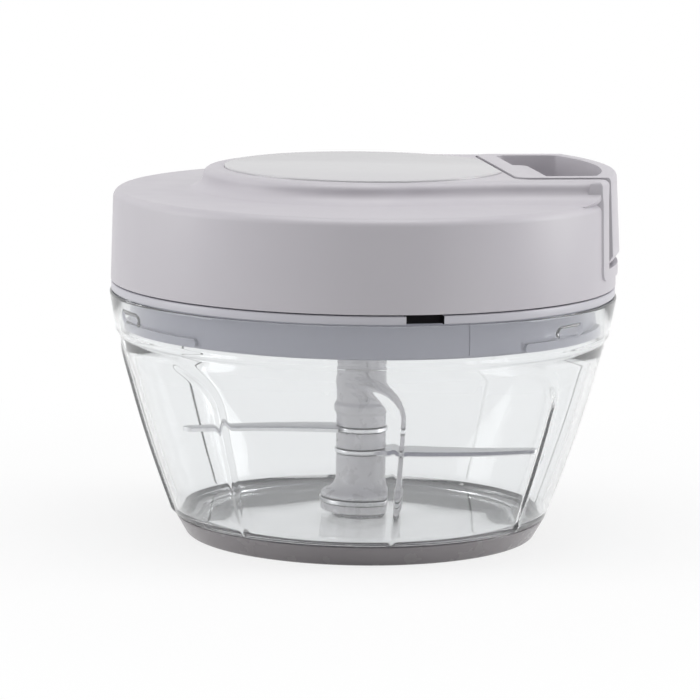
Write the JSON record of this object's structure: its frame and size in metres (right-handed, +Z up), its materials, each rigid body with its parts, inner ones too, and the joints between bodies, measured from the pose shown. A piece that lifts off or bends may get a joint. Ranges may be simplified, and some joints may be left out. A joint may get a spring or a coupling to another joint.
{
  "type": "pull-cord food chopper",
  "caption": "Hand-powered food chopper: a clear ribbed bowl with a curved blade set, under a round lid with a recoil reel and a pull-out cord handle.",
  "frame": {"origin": "on the bowl's axis, at the bottom of the base ring, where the chopper stands", "axes": "+Z up along the bowl, reel and blade axis; +X along the pull of the handle"},
  "size_m": [0.1302, 0.1298, 0.0947],
  "materials": {
    "lid_plastic": "fine satin",
    "plate_plastic": "semi-gloss",
    "skirt_plastic": "smooth",
    "clear_plastic": "clear polished",
    "ring_rubber": "satin",
    "hub_plastic": "translucent satin",
    "steel": "polished",
    "spring_steel": "blued strip",
    "works_plastic": "self-coloured acetal",
    "cord": "braided",
    "bronze": "sintered"
  },
  "bodies": {
    "bowl_unit": {"bowl": "clear_plastic", "base_ring": "ring_rubber", "centre_pin": "steel"},
    "lid": {"lid_base": "skirt_plastic", "lid_cover": "lid_plastic", "top_plate": "plate_plastic", "cord_guide": "works_plastic", "drive_bush": "bronze", "reel_axle": "steel", "lid_screw_1": "steel", "lid_screw_2": "steel", "lid_screw_3": "steel", "lid_screw_4": "steel"},
    "reel": {"cord_reel": "works_plastic", "cord_winding": "cord", "recoil_spring": "spring_steel", "spring_cover": "works_plastic"},
    "pawl_1": {"clutch_pawl_1": "works_plastic"},
    "pawl_2": {"clutch_pawl_2": "works_plastic"},
    "drive": {"drive_shaft": "works_plastic", "ratchet_wheel": "works_plastic"},
    "handle": {"pull_handle": "lid_plastic", "cord_run": "cord", "cord_knot": "cord"},
    "blade_unit": {"blade_hub": "hub_plastic", "upper_blade": "steel", "middle_blade": "steel", "lower_blade": "steel"}
  },
  "joints": [
    {"name": "lid_lift", "type": "slide", "parent": "bowl_unit", "child": "lid", "axis": [0, 0, 1], "range_m": [0, 0.09]},
    {"name": "handle_pull", "type": "slide", "parent": "lid", "child": "handle", "axis": [1, 0, 0], "range_m": [0, 0.3], "stiffness_N_per_m": 12, "springref_m": -0.15, "deforming": ["cord_run"]},
    {"name": "reel_spin", "type": "hinge", "parent": "lid", "child": "reel", "pos_m": [0, 0, 0.07], "axis": [0, 0, -1], "range_deg": [0, 738], "deforming": ["recoil_spring"]},
    {"name": "drive_spin", "type": "hinge", "parent": "lid", "child": "drive", "pos_m": [0, 0, 0.055], "axis": [0, 0, -1], "range_deg": [0, 738]},
    {"name": "blade_spin", "type": "hinge", "parent": "bowl_unit", "child": "blade_unit", "pos_m": [0, 0, 0.02], "axis": [0, 0, -1], "range_deg": [0, 738]},
    {"name": "pawl_1_swing", "type": "hinge", "parent": "reel", "child": "pawl_1", "pos_m": [0.01115, 0.01004, 0.064], "axis": [0, 0, 1], "range_deg": [0, 12], "stiffness_Nm_per_rad": 0.02, "springref_deg": -5.73},
    {"name": "pawl_2_swing", "type": "hinge", "parent": "reel", "child": "pawl_2", "pos_m": [-0.01115, -0.01004, 0.064], "axis": [0, 0, 1], "range_deg": [0, 12], "stiffness_Nm_per_rad": 0.02, "springref_deg": -5.73}
  ],
  "couplings": [
    {"joint": "reel_spin", "follows": "handle_pull", "rad_per_m": 42.918},
    {"joint": "drive_spin", "follows": "handle_pull", "rad_per_m": 42.918},
    {"joint": "blade_spin", "follows": "handle_pull", "rad_per_m": 42.918}
  ]
}
